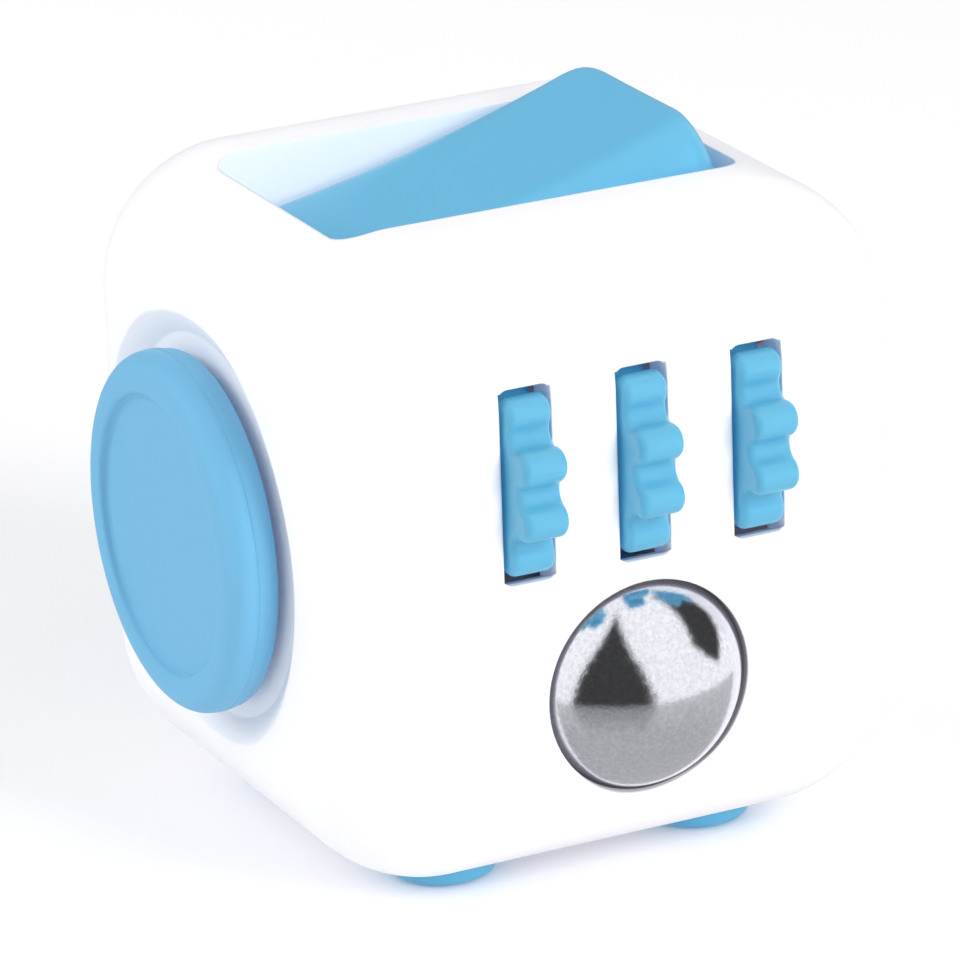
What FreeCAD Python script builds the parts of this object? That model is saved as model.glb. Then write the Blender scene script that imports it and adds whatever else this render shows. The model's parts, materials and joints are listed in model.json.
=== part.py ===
"""Fidget cube: a palm-size cube with a different small mechanism on each face.

Frame: millimetres, +Z up, +X to the right, -Y towards the wheels and the ball.
The origin is the centre button's flat foot, so z = 0 is the surface the cube stands on.

Faces:  +Z flip rocker      -Y three lobed wheels and a steel ball
        -X gliding thumb disc      +Y spinning dial (on the removable back cover)
        +X hollowed thumb rest     -Z five push buttons, which are also the feet
"""
import FreeCAD, Part
import os
import re

import Sketcher

V = FreeCAD.Vector

# Driving dimensions, one cell of the sheet each.
DIMENSIONS = {
    # white shell
    "cube_side": 33.0,
    "edge_round": 7.4,
    "wall": 1.8,
    "foot_drop": 1.2,
    "seam_y": 11.4,
    "lip_depth": 0.8,
    "lip_wall": 0.8,
    "lip_gap": 0.08,
    # general clearances
    "run_gap": 0.05,
    "snug_gap": 0.02,
    "seat_gap": 0.05,
    # lobed wheels
    "lobe_count": 10.0,
    "gear_tip": 5.4,
    "gear_root": 4.25,
    "lobe_round": 0.9,
    "gear_width": 2.4,
    "gear_pitch": 6.3,
    "gear_depth": 2.9,
    "gear_rise": 5.4,
    "axle_radius": 0.8,
    "axle_half": 9.8,
    "slot_width": 2.8,
    "slot_height": 10.0,
    "slot_corner": 0.5,
    "slot_relief": 5.6,
    "inner_rib_width": 3.3,
    "outer_rib_width": 2.1,
    "outer_rib_x": 8.85,
    "rib_height": 4.4,
    # steel ball
    "ball_radius": 6.0,
    "ball_depth": 3.0,
    "ball_drop": 6.25,
    "ball_gap": 0.06,
    "ball_hole": 5.5,
    "cup_radius": 5.6,
    "cup_front": 3.5,
    "cup_back": 7.2,
    "tube_radius": 6.5,
    "tube_front": 3.0,
    "tube_floor": 0.9,
    "ball_spring_length": 1.4,
    "ball_spring_hole": 3.4,
    # flip rocker
    "rocker_x": -0.5,
    "window_length": 22.2,
    "window_width": 15.6,
    "window_corner": 1.5,
    "window_undercut": 0.3,
    "well_wall": 1.0,
    "well_depth": 5.2,
    "rocker_width": 14.9,
    "rocker_length": 21.6,
    "rocker_pivot": 4.0,
    "rocker_crown": 3.3,
    "rocker_hollow_curve": 100.0,
    "rocker_skirt": 1.2,
    "rocker_side_round": 2.6,
    "rocker_end_round": 0.9,
    "rocker_tilt": 14.5,
    "rocker_pocket_length": 17.0,
    "rocker_pocket_width": 9.6,
    "rocker_roof": 1.1,
    "rocker_hub": 2.1,
    "rocker_pin": 1.0,
    "keel_length": 3.0,
    "keel_round": 0.6,
    "keel_width": 3.0,
    "cheek_inner": 8.0,
    "cheek_width": 1.2,
    "cheek_length": 4.4,
    "cheek_drop": 1.7,
    # leaf under the rocker
    "leaf_thick": 0.2,
    "leaf_width": 3.0,
    "leaf_length": 14.0,
    "leaf_rise": 7.85,
    "hump_radius": 0.85,
    "hump_rise": 8.2,
    "leaf_pad_length": 2.6,
    "leaf_pad_thick": 1.2,
    "stake_radius": 0.5,
    "stake_height": 0.5,
    # gliding thumb disc
    "glide_radius": 9.2,
    "glide_top": 2.25,
    "glide_under": 0.35,
    "glide_round": 1.2,
    "glide_recess": 7.05,
    "glide_recess_depth": 0.5,
    "glide_boss": 2.6,
    "glide_boss_depth": 1.85,
    "glide_screw_bite": 0.6,
    "glide_screw_head": 0.5,
    "ring_rim": 0.7,
    "ring_web": 0.4,
    "glide_travel": 1.0,
    "dish_radius": 11.2,
    "dish_floor": 9.8,
    "dish_depth": 0.8,
    "stem_hole": 4.4,
    "stem_radius": 1.8,
    "stem_flange": 2.8,
    "stem_tail": 1.4,
    "stem_end": 5.1,
    "slider_front": 2.0,
    "slider_thick": 1.0,
    "slider_half_y": 4.0,
    "slider_half_z": 2.85,
    "housing_half": 6.4,
    "housing_front": 5.9,
    "housing_thick": 1.0,
    "rail_width": 0.85,
    "rail_half": 3.9,
    "housing_screw": 5.3,
    "housing_boss": 1.2,
    "end_wall_tall": 1.8,
    # spinning dial
    "dial_radius": 10.3,
    "dial_top": 2.5,
    "dial_under": 0.6,
    "dial_round": 1.0,
    "dial_hub": 2.9,
    "dial_hub_end": 2.8,
    "dial_recess_radius": 10.6,
    "dial_recess_depth": 0.8,
    "dimple_offset": 5.2,
    "dimple_curve": 6.0,
    "dimple_depth": 1.2,
    "washer_radius": 4.6,
    "washer_thick": 0.6,
    "spring_washer_hole": 3.1,
    "spring_washer_radius": 4.5,
    "spring_washer_thick": 0.3,
    "dial_screw_bite": 0.8,
    "dial_screw_head": 1.6,
    # thumb rest
    "stone_radius": 8.5,
    "stone_depth": 1.5,
    "stone_edge_round": 1.2,
    "stone_pad": 8.2,
    # push buttons
    "button_pitch": 7.2,
    "button_radius": 2.8,
    "button_gap": 0.1,
    "button_round": 0.8,
    "button_flange": 3.6,
    "flange_thick": 0.8,
    "flange_seat": 3.75,
    "mat_rise": 0.9,
    "mat_thick": 0.5,
    "mat_half": 11.2,
    "mat_corner": 2.5,
    "nub_radius": 1.0,
    "nub_height": 0.3,
    "board_rise": 2.1,
    "board_thick": 1.0,
    "board_notch": 4.2,
    "board_notch_y": 3.6,
    "dome_radius": 2.2,
    "dome_height": 0.35,
    "dome_thick": 0.12,
    # inner frame
    "plate_front": 7.9,
    "plate_thick": 1.2,
    "plate_half": 13.0,
    "plate_top": 8.0,
    "plate_bottom": 11.0,
    "plate_corner": 2.0,
    "pillar_pitch": 5.8,
    "pillar_radius": 2.0,
    "comb_low": 0.45,
    "comb_height": 1.5,
    "comb_half": 7.2,
    "finger_width": 1.6,
    "finger_top": 6.15,
    "bump_radius": 0.5,
    "bump_y": 8.55,
    "finger_window_rise": 4.65,
    "finger_window_tall": 5.0,
    # screws
    "screw_radius": 0.6,
    "screw_head": 1.25,
    "screw_head_deep": 0.7,
    "pan_head": 1.1,
    "pan_thick": 0.7,
    "boss_radius": 1.6,
    "boss_root": 0.3,
    "blind_skin": 0.6,
    "frame_boss_x": 11.6,
    "frame_boss_high": 5.5,
    "frame_boss_low": 7.5,
    "board_boss_x": 10.8,
    "board_boss_y": 9.3,
    "frame_screw_reach": 5.5,
    "cover_screw_reach": 6.5,
    "board_screw_reach": 2.6,
    "housing_screw_reach": 4.5,
    # how far cutters reach past what they cut, and joined solids run into each other
    "overcut": 1.0,
    "weld": 0.2,
}

# Sizes that follow from the driving ones.
DERIVED = {
    "half": "cube_side / 2",
    "middle": "foot_drop + half",
    "inside": "half - wall",
    "inner_round": "edge_round - wall",
    "gear_y": "gear_depth - half",
    "gear_z": "middle + gear_rise",
    "lobe_centre": "gear_tip - lobe_round",
    "half_lobe": "180 / lobe_count",
    "valley_round": "(lobe_centre ^ 2 + gear_root ^ 2 - 2 * gear_root * lobe_centre * cos(half_lobe)"
                    " - lobe_round ^ 2) / (2 * (lobe_round + lobe_centre * cos(half_lobe) - gear_root))",
    "valley_centre": "gear_root + valley_round",
    "ball_y": "ball_depth - half",
    "ball_z": "middle - ball_drop",
    "seat_radius": "ball_radius + ball_gap",
    "cup_back_y": "ball_y + cup_back",
    "tube_front_y": "ball_y + tube_front",
    "tube_floor_y": "cup_back_y + ball_spring_length + 2 * run_gap",
    "pivot_z": "middle + half - rocker_pivot",
    "cheek_rise": "rocker_pivot - wall / 2",
    "well_tall": "well_depth - wall / 2",
    "axle_bore": "axle_radius + snug_gap",
    "pin_bore": "rocker_pin + snug_gap",
    "screw_bore": "screw_radius + snug_gap",
    "screw_pass": "screw_radius + 2 * run_gap",
    "stone_curve": "(stone_radius ^ 2 + stone_depth ^ 2) / (2 * stone_depth)",
    "floor_z": "foot_drop + wall",
    "flange_z": "floor_z + seat_gap",
    "flange_top_z": "flange_z + flange_thick",
    "mat_z": "floor_z + mat_rise",
    "board_z": "floor_z + board_rise",
    "board_top_z": "board_z + board_thick",
    "plate_y": "0 - plate_front + plate_thick / 2",
    "plate_back_y": "plate_thick - plate_front",
    "comb_z": "middle + comb_low + comb_height / 2",
    "dome_curve": "(dome_radius ^ 2 + dome_height ^ 2) / (2 * dome_height)",
    "frame_boss_high_z": "middle + frame_boss_high",
    "frame_boss_low_z": "middle - frame_boss_low",
    "flange_front": "slider_front + slider_thick + 2 * run_gap",
    "flange_back": "flange_front + slider_thick",
    "head_end": "stem_end + glide_screw_head + run_gap",
    "rail_inner": "slider_half_y + run_gap",
}

doc = FreeCAD.newDocument("fidget_cube")
sheet = doc.addObject("Spreadsheet::Sheet", "dims")
for row, (alias, size) in enumerate(DIMENSIONS.items(), start=1):
    sheet.set("A%d" % row, alias.replace("_", " "))
    sheet.set("B%d" % row, str(size))
    sheet.setAlias("B%d" % row, alias)
doc.recompute()

TURNS = {
    "x": FreeCAD.Rotation(V(0, 1, 0), 90),
    "-x": FreeCAD.Rotation(V(0, 1, 0), -90),
    "y": FreeCAD.Rotation(V(1, 0, 0), -90),
    "-y": FreeCAD.Rotation(V(1, 0, 0), 90),
    "z": FreeCAD.Rotation(),
}
NODES = []


# ---------------------------------------------------------------- helpers

def expand(text):
    """Write a size in terms of the sheet's cells, working derived sizes out on the way."""
    def swap(match):
        word = match.group(0)
        if word in DERIVED:
            return "(" + expand(DERIVED[word]) + ")"
        return "dims." + word if word in DIMENSIONS else word
    return re.sub(r"[a-z_]+", swap, text)


def value(text):
    """The number that a size works out to."""
    return float(sheet.evalExpression(expand(text)))


def bind(piece, **sizes):
    for name, text in sizes.items():
        piece.setExpression(name, expand(text))


def place(piece, at, along="z"):
    """Turn a piece's own +Z to the direction `along` and bind its position."""
    piece.Placement = FreeCAD.Placement(V(), TURNS[along])
    for letter, text in zip("xyz", at):
        piece.setExpression("Placement.Base." + letter, expand(text))
    return piece


def box(name, size, centre):
    piece = doc.addObject("Part::Box", name)
    bind(piece, Length=size[0], Width=size[1], Height=size[2])
    corner = ["%s - (%s) / 2" % pair for pair in zip(centre, size)]
    return place(piece, corner)


def rod(name, along, radius, start, length):
    piece = doc.addObject("Part::Cylinder", name)
    bind(piece, Radius=radius, Height=length)
    return place(piece, start, along)


def cone(name, along, start_radius, end_radius, start, length):
    piece = doc.addObject("Part::Cone", name)
    bind(piece, Radius1=start_radius, Radius2=end_radius, Height=length)
    return place(piece, start, along)


def sphere(name, radius, centre):
    piece = doc.addObject("Part::Sphere", name)
    bind(piece, Radius=radius)
    return place(piece, centre)


def fuse(name, *pieces):
    result = doc.addObject("Part::MultiFuse", name)
    result.Shapes = list(pieces)
    return result


def cut(name, base, *tools):
    result = doc.addObject("Part::Cut", name)
    result.Base = base
    result.Tool = tools[0] if len(tools) == 1 else fuse(name + "_openings", *tools)
    return result


def common(name, first, second):
    result = doc.addObject("Part::Common", name)
    result.Base = first
    result.Tool = second
    return result


def round_edges(name, base, radius, chosen):
    """Fillet the edges of `base` for which chosen(edge) is true."""
    doc.recompute()
    size = value(radius)
    result = doc.addObject("Part::Fillet", name)
    result.Base = base
    edges = enumerate(base.Shape.Edges, start=1)
    result.Edges = [(number, size, size) for number, edge in edges if chosen(edge)]
    return result


def is_ring(edge, radius):
    """True for a circular edge of the given radius, in millimetres."""
    try:
        return isinstance(edge.Curve, Part.Circle) and abs(edge.Curve.Radius - radius) < 1e-3
    except TypeError:
        return False


def new_body(name, plane_role):
    """A body with an empty sketch on one of its own origin planes."""
    body = doc.addObject("PartDesign::Body", name)
    plane = next(item for item in body.Origin.OriginFeatures if item.Role == plane_role)
    sketch = body.newObject("Sketcher::SketchObject", name + "_sketch")
    sketch.AttachmentSupport = [(plane, "")]
    sketch.MapMode = "FlatFace"
    return body, sketch


def draw_polygon(sketch, points):
    """Closed outline through (across, up) points, each bound to the sheet."""
    numbers = [V(value(across), value(up), 0) for across, up in points]
    count = len(numbers)
    for index in range(count):
        line = Part.LineSegment(numbers[index], numbers[(index + 1) % count])
        sketch.addGeometry(line, False)
    for index in range(count):
        sketch.addConstraint(Sketcher.Constraint("Coincident", index, 2, (index + 1) % count, 1))
    for index, point in enumerate(points):
        for kind, text in zip(("DistanceX", "DistanceY"), point):
            rule = Sketcher.Constraint(kind, -1, 1, index, 1, value(text))
            number = sketch.addConstraint(rule)
            sketch.setExpression("Constraints[%d]" % number, expand(text))


def block(name, along, size, centre, corner):
    """Rectangular plate: size = (across, up, thickness) with rounded corners."""
    body, sketch = new_body(name, "XY_Plane")
    right, top = "(%s) / 2" % size[0], "(%s) / 2" % size[1]
    left, bottom = "0 - " + right, "0 - " + top
    draw_polygon(sketch, [(left, bottom), (right, bottom), (right, top), (left, top)])
    pad = body.newObject("PartDesign::Pad", name + "_pad")
    pad.Profile = sketch
    pad.Midplane = True
    bind(pad, Length=size[2])
    doc.recompute()
    upright = ["Edge%d" % number for number, edge in enumerate(pad.Shape.Edges, start=1)
               if abs(edge.tangentAt(edge.FirstParameter).z) > 0.99]
    soft = body.newObject("PartDesign::Fillet", name + "_corners")
    soft.Base = (pad, upright)
    bind(soft, Radius=corner)
    return place(body, centre, along)


def rounded_cube(name, side, rounding):
    """Cube about the middle of the whole object, every edge and corner rounded."""
    body, sketch = new_body(name, "XY_Plane")
    reach = "(%s) / 2" % side
    draw_polygon(sketch, [("0 - " + reach, "0 - " + reach), (reach, "0 - " + reach),
                          (reach, reach), ("0 - " + reach, reach)])
    pad = body.newObject("PartDesign::Pad", name + "_pad")
    pad.Profile = sketch
    pad.Midplane = True
    bind(pad, Length=side)
    doc.recompute()
    soft = body.newObject("PartDesign::Fillet", name + "_edges")
    soft.Base = (pad, [])
    soft.UseAllEdges = True
    bind(soft, Radius=rounding)
    return place(body, ("0", "0", "middle"))


def turned(name, along, profile, at, rounds=()):
    """Turned piece: profile of (radius, height) points about the piece's own +Z.

    rounds = (radius, height, size) of circular edges to fillet.
    """
    body, sketch = new_body(name, "XZ_Plane")
    draw_polygon(sketch, profile)
    turn = body.newObject("PartDesign::Revolution", name + "_turn")
    turn.Profile = sketch
    turn.ReferenceAxis = (sketch, ["V_Axis"])
    turn.Angle = 360
    last = turn
    for index, (radius, height, size) in enumerate(rounds):
        doc.recompute()
        wanted = (value(radius), value(height))
        names = ["Edge%d" % number for number, edge in enumerate(last.Shape.Edges, start=1)
                 if is_ring(edge, wanted[0]) and abs(edge.Curve.Center.z - wanted[1]) < 1e-4]
        soft = body.newObject("PartDesign::Fillet", "%s_round_%d" % (name, index))
        soft.Base = (last, names)
        bind(soft, Radius=size)
        last = soft
    return place(body, at, along)


def keep(piece, label):
    """Name a finished sub-part; its label becomes the name of its file."""
    piece.Label = label
    NODES.append(piece)
    return piece


def both(text):
    """The same distance on the two sides of the middle plane."""
    return [text, "0 - " + text]


# ---------------------------------------------------------------- shell and cover

def frame_boss_places():
    return [(x, z) for x in both("frame_boss_x") for z in ("frame_boss_high_z", "frame_boss_low_z")]


def board_boss_places():
    return [("board_boss_x", "0"), ("0 - board_boss_x", "0"), ("0", "board_boss_y")]


def housing_boss_places():
    return [(y, "middle + " + z) for y in both("housing_screw") for z in both("housing_screw")]


def pillar_places():
    return [(x, "middle + " + z) for x in both("pillar_pitch") for z in both("pillar_pitch")]


def button_places():
    corners = [(x, y) for y in ("0 - button_pitch", "button_pitch")
               for x in ("0 - button_pitch", "button_pitch")]
    return corners[:2] + [("0", "0")] + corners[2:]


GEAR_PLACES = {"left": "0 - gear_pitch", "middle": "0", "right": "gear_pitch"}

outer_form = rounded_cube("outer_form", "cube_side", "edge_round")
inner_form = rounded_cube("inner_form", "2 * inside", "inner_round")
stone_cutter = sphere("stone_cutter", "stone_curve",
                      ("half - stone_depth + stone_curve", "0", "middle"))
dimpled_form = cut("dimpled_form", outer_form, stone_cutter)
rear_half = box("rear_half", ("2 * cube_side", "cube_side", "2 * cube_side"),
                ("0", "seam_y + half", "middle"))


def is_stone_rim(edge):
    return is_ring(edge, value("stone_radius"))


soft_form = round_edges("soft_form", dimpled_form, "stone_edge_round", is_stone_rim)
hollow_form = cut("hollow_form", soft_form, inner_form)


def shell_additions():
    """Bosses, ribs and cheeks moulded on the inside of the shell."""
    pieces = [rod("stone_backing", "x", "stone_pad", ("inside - stone_depth", "0", "middle"),
                  "stone_depth + wall / 4")]
    for index, (x, z) in enumerate(frame_boss_places()):
        pieces.append(rod("frame_boss_%d" % index, "y", "boss_radius", (x, "boss_root - inside", z),
                          "inside - boss_root - plate_front - seat_gap"))
    for index, (x, y) in enumerate(board_boss_places()):
        pieces.append(rod("board_boss_%d" % index, "z", "boss_radius", (x, y, "foot_drop + wall / 2"),
                          "board_z - seat_gap - foot_drop - wall / 2"))
    for index, (y, z) in enumerate(housing_boss_places()):
        pieces.append(rod("housing_boss_%d" % index, "x", "housing_boss", ("0 - inside - weld", y, z),
                          "housing_front - wall + weld - seat_gap"))
    for index, (x, width) in enumerate(rib_places()):
        pieces.append(box("shell_rib_%d" % index, (width, "gear_depth - wall + weld / 2", "rib_height"),
                          (x, "(gear_y - inside - weld / 2) / 2", "gear_z")))
    for index, y in enumerate(both("(cheek_inner + cheek_width / 2)")):
        pieces.append(box("cheek_%d" % index, ("cheek_length", "cheek_width", "cheek_rise + cheek_drop"),
                          ("rocker_x", y, "pivot_z + (cheek_rise - cheek_drop) / 2")))
    well = ("window_length + 2 * well_wall", "window_width + 2 * well_wall", "well_tall")
    pieces.append(block("rocker_well", "z", well,
                        ("rocker_x", "0", "middle + half - well_depth + well_tall / 2"),
                        "window_corner + well_wall"))
    return pieces


def rib_places():
    """Centre and width of the four ribs that hold the wheel axle."""
    inner = [(x, "inner_rib_width") for x in both("gear_pitch / 2")]
    outer = [(x, "outer_rib_width") for x in both("outer_rib_x")]
    return inner + outer


def front_openings():
    """Wheel slots, ball hole and its seat."""
    tools = []
    for name, x in GEAR_PLACES.items():
        tools.append(block("slot_" + name, "y", ("slot_width", "slot_height", "2 * wall + overcut"),
                           (x, "0 - half + wall / 2", "gear_z"), "slot_corner"))
        tools.append(rod("slot_relief_" + name, "x", "slot_relief",
                         (x + " - slot_width / 2", "gear_y", "gear_z"), "slot_width"))
    tools.append(rod("ball_opening", "y", "ball_hole", ("0", "0 - half - overcut", "ball_z"),
                     "ball_depth + overcut"))
    tools.append(sphere("ball_seat", "seat_radius", ("0", "ball_y", "ball_z")))
    tools.append(rod("axle_saddle", "x", "axle_bore", ("0 - axle_half - run_gap", "gear_y", "gear_z"),
                     "2 * (axle_half + run_gap)"))
    return tools


def side_openings():
    """Dish and stem hole of the gliding disc, with the bores for its housing's screws."""
    tools = [cone("glide_dish", "x", "dish_radius + (dish_radius - dish_floor)", "dish_floor",
                  ("0 - half - dish_depth", "0", "middle"), "2 * dish_depth"),
             rod("stem_opening", "x", "stem_hole", ("0 - half - overcut", "0", "middle"),
                 "wall + 2 * overcut")]
    for index, (y, z) in enumerate(housing_boss_places()):
        tools.append(rod("housing_bore_%d" % index, "x", "screw_bore", ("0 - half + wall", y, z),
                         "housing_front - wall"))
    return tools


def top_openings():
    """Window of the rocker, the room under its rim for the low end, and the bore for its pin."""
    return [block("rocker_window", "z", ("window_length", "window_width", "2 * well_depth + overcut"),
                  ("rocker_x", "0", "middle + half"), "window_corner"),
            block("rocker_undercut", "z",
                  ("window_length + 2 * window_undercut", "window_width", "well_depth + overcut - wall"),
                  ("rocker_x", "0", "middle + half - (well_depth + overcut + wall) / 2"), "window_corner"),
            rod("pin_bore", "y", "pin_bore", ("rocker_x", "weld - cheek_inner - cheek_width", "pivot_z"),
                "2 * (cheek_inner + cheek_width)")]


def bottom_openings():
    """Button holes, flat seats for their flanges, and the board's screw bores."""
    tools = []
    for index, (x, y) in enumerate(button_places()):
        tools.append(rod("button_hole_%d" % index, "z", "button_radius + button_gap",
                         (x, y, "foot_drop - overcut"), "wall + 2 * overcut"))
        tools.append(rod("flange_seat_%d" % index, "z", "flange_seat", (x, y, "floor_z"), "wall"))
    for index, (x, y) in enumerate(board_boss_places()):
        tools.append(rod("board_bore_%d" % index, "z", "screw_bore", (x, y, "floor_z - blind_skin"),
                         "board_rise + overcut"))
    return tools


def build_outer_shell():
    walls = cut("shell_walls", hollow_form, rear_half)
    ribs = common("shell_ribs", fuse("shell_rib_set", *shell_additions()), soft_form)
    solid = fuse("shell_solid", walls, ribs)
    tools = front_openings() + side_openings() + top_openings() + bottom_openings()
    for index, (x, z) in enumerate(frame_boss_places()):
        tools.append(rod("frame_bore_%d" % index, "y", "screw_bore", (x, "boss_radius - inside", z),
                         "inside"))
    keep(cut("outer_shell", solid, *tools), "outer_shell")


def build_back_cover():
    cap = common("cover_cap", hollow_form, rear_half)
    lip_outer = rounded_cube("lip_outer", "2 * (inside - lip_gap)", "inner_round - lip_gap")
    lip_inner = rounded_cube("lip_inner", "2 * (inside - lip_gap - lip_wall)",
                             "inner_round - lip_gap - lip_wall")
    collar_outer = rounded_cube("collar_outer", "2 * inside + wall", "inner_round + wall / 2")
    lip_band = box("lip_band", ("cube_side", "2 * lip_depth", "2 * plate_bottom"),
                   ("0", "seam_y", "middle"))
    collar_band = box("collar_band", ("cube_side", "lip_depth", "cube_side"),
                      ("0", "seam_y + lip_depth / 2", "middle"))
    lip = common("cover_lip", cut("lip_ring", lip_outer, lip_inner), lip_band)
    collar = common("cover_collar", cut("collar_ring", collar_outer, lip_inner), collar_band)
    solid = fuse("cover_solid", cap, lip, collar)
    floor = "half - dial_recess_depth"
    tools = [rod("dial_recess", "y", "dial_recess_radius", ("0", floor, "middle"),
                 "dial_recess_depth + overcut"),
             rod("dial_hole", "y", "dial_hub + run_gap", ("0", "inside - overcut", "middle"),
                 "wall + 2 * overcut")]
    for index, (x, z) in enumerate(pillar_places()):
        tools.append(rod("cover_pass_%d" % index, "y", "screw_pass", (x, "inside - overcut", z),
                         "wall + 2 * overcut"))
        tools.append(cone("cover_sink_%d" % index, "y", "screw_pass", "screw_head + 2 * run_gap",
                          (x, floor + " - screw_head_deep", z), "screw_head_deep"))
    keep(cut("back_cover", solid, *tools), "back_cover")


# ---------------------------------------------------------------- inner frame

def build_inner_frame():
    plate = block("frame_plate", "y", ("2 * plate_half", "plate_top + plate_bottom", "plate_thick"),
                  ("0", "plate_y", "middle + (plate_top - plate_bottom) / 2"), "plate_corner")
    pieces = [plate, rod("ball_tube", "y", "tube_radius", ("0", "tube_front_y", "ball_z"),
                         "tube_floor_y + tube_floor - tube_front_y")]
    for index, (x, width) in enumerate(rib_places()):
        pieces.append(box("frame_rib_%d" % index,
                          (width, "0 - plate_front - gear_y - 2 * run_gap + plate_thick / 2", "rib_height"),
                          (x, "(gear_y + 2 * run_gap - plate_front + plate_thick / 2) / 2", "gear_z")))
    for index, (x, z) in enumerate(pillar_places()):
        pieces.append(rod("pillar_%d" % index, "y", "pillar_radius", (x, "plate_y", z),
                          "inside - seat_gap - plate_y"))
    for index, x in enumerate(both("pillar_pitch")):
        pieces.append(box("leaf_pad_%d" % index,
                          ("leaf_pad_length", "leaf_width + overcut", "leaf_pad_thick"),
                          (x, "0", "middle + leaf_rise - seat_gap - leaf_pad_thick / 2")))
        pieces.append(rod("leaf_stake_%d" % index, "z", "stake_radius",
                          (x, "0", "middle + leaf_rise - stake_height"), "leaf_thick + 2 * stake_height"))
    for index, x in enumerate(both("gear_pitch / 2")):
        pieces.append(rod("comb_stake_%d" % index, "y", "stake_radius",
                          (x, "0 - plate_front - leaf_thick - stake_height", "comb_z"),
                          "leaf_thick + stake_height + plate_thick / 2"))
    solid = fuse("frame_solid", *pieces)
    tools = [rod("tube_bore", "y", "cup_radius + run_gap", ("0", "tube_front_y - overcut", "ball_z"),
                 "tube_floor_y - tube_front_y + overcut"),
             rod("frame_saddle", "x", "axle_bore", ("0 - axle_half - overcut", "gear_y", "gear_z"),
                 "2 * (axle_half + overcut)")]
    for name, x in GEAR_PLACES.items():
        tools.append(box("finger_window_" + name,
                         ("finger_width * 3 / 2", "2 * plate_thick", "finger_window_tall"),
                         (x, "plate_y", "middle + finger_window_rise")))
    for index, (x, z) in enumerate(frame_boss_places()):
        tools.append(rod("frame_pass_%d" % index, "y", "screw_pass", (x, "0 - plate_front - overcut", z),
                         "plate_thick + 2 * overcut"))
        tools.append(cone("frame_sink_%d" % index, "y", "screw_pass", "screw_head + run_gap",
                          (x, "plate_back_y - screw_head_deep", z), "screw_head_deep"))
    for index, (x, z) in enumerate(pillar_places()):
        tools.append(rod("pillar_bore_%d" % index, "y", "screw_bore", (x, "inside - cover_screw_reach", z),
                         "cover_screw_reach + overcut"))
    keep(cut("inner_frame", solid, *tools), "inner_frame")


# ---------------------------------------------------------------- wheels and their axle

# Just outside the points where the lobe and valley arcs meet.
CORE_RADIUS = ("0.02 + sqrt(lobe_centre ^ 2 + (lobe_round / (lobe_round + valley_round)) *"
               " (valley_centre ^ 2 - lobe_centre ^ 2 - (lobe_round + valley_round) * valley_round))")


def build_gear(name, x):
    """Wheel of round lobes joined by round valleys, a valley facing straight forward."""
    body, sketch = new_body("wheel_" + name, "YZ_Plane")
    core = sketch.addGeometry(Part.Circle(V(), V(0, 0, 1), value("lobe_centre")), False)
    sketch.addConstraint(Sketcher.Constraint("Coincident", core, 3, -1, 1))
    rule = sketch.addConstraint(Sketcher.Constraint("Radius", core, value("lobe_centre")))
    sketch.setExpression("Constraints[%d]" % rule, expand(CORE_RADIUS))
    disc = body.newObject("PartDesign::Pad", "gear_disc_" + name)
    disc.Profile = sketch
    disc.Midplane = True
    bind(disc, Length="gear_width")
    ring_feature(body, name, "lobe", "PartDesign::Pad", "lobe_round",
                 ("0 - lobe_centre * cos(half_lobe)", "lobe_centre * sin(half_lobe)"))
    ring_feature(body, name, "valley", "PartDesign::Pocket", "valley_round", ("0 - valley_centre", "0"))
    place(body, (x, "gear_y", "gear_z"))
    bore = rod("gear_bore_" + name, "x", "axle_radius + run_gap",
               (x + " - gear_width", "gear_y", "gear_z"), "2 * gear_width")
    keep(cut("gear_solid_" + name, body, bore), "gear_" + name)


def ring_feature(body, gear, kind, feature_type, radius, centre):
    """One round lobe or valley, repeated round the wheel."""
    plane = next(item for item in body.Origin.OriginFeatures if item.Role == "YZ_Plane")
    sketch = body.newObject("Sketcher::SketchObject", "%s_sketch_%s" % (kind, gear))
    sketch.AttachmentSupport = [(plane, "")]
    sketch.MapMode = "FlatFace"
    at = V(value(centre[0]), value(centre[1]), 0)
    ring = sketch.addGeometry(Part.Circle(at, V(0, 0, 1), value(radius)), False)
    for rule, text in (("DistanceX", centre[0]), ("DistanceY", centre[1])):
        number = sketch.addConstraint(Sketcher.Constraint(rule, -1, 1, ring, 3, value(text)))
        sketch.setExpression("Constraints[%d]" % number, expand(text))
    number = sketch.addConstraint(Sketcher.Constraint("Radius", ring, value(radius)))
    sketch.setExpression("Constraints[%d]" % number, expand(radius))
    feature = body.newObject(feature_type, "%s_%s" % (kind, gear))
    feature.Profile = sketch
    feature.Midplane = True
    bind(feature, Length="gear_width + (%d)" % (0 if kind == "lobe" else 1))
    pattern = body.newObject("PartDesign::PolarPattern", "%s_ring_%s" % (kind, gear))
    pattern.Originals = [feature]
    axis = next(item for item in body.Origin.OriginFeatures if item.Role == "X_Axis")
    pattern.Axis = (axis, [""])
    pattern.Angle = 360
    bind(pattern, Occurrences="lobe_count")
    body.Tip = pattern


def build_gear_axle():
    axle = rod("axle_bar", "x", "axle_radius", ("0 - axle_half", "gear_y", "gear_z"), "2 * axle_half")
    keep(axle, "gear_axle")


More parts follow.
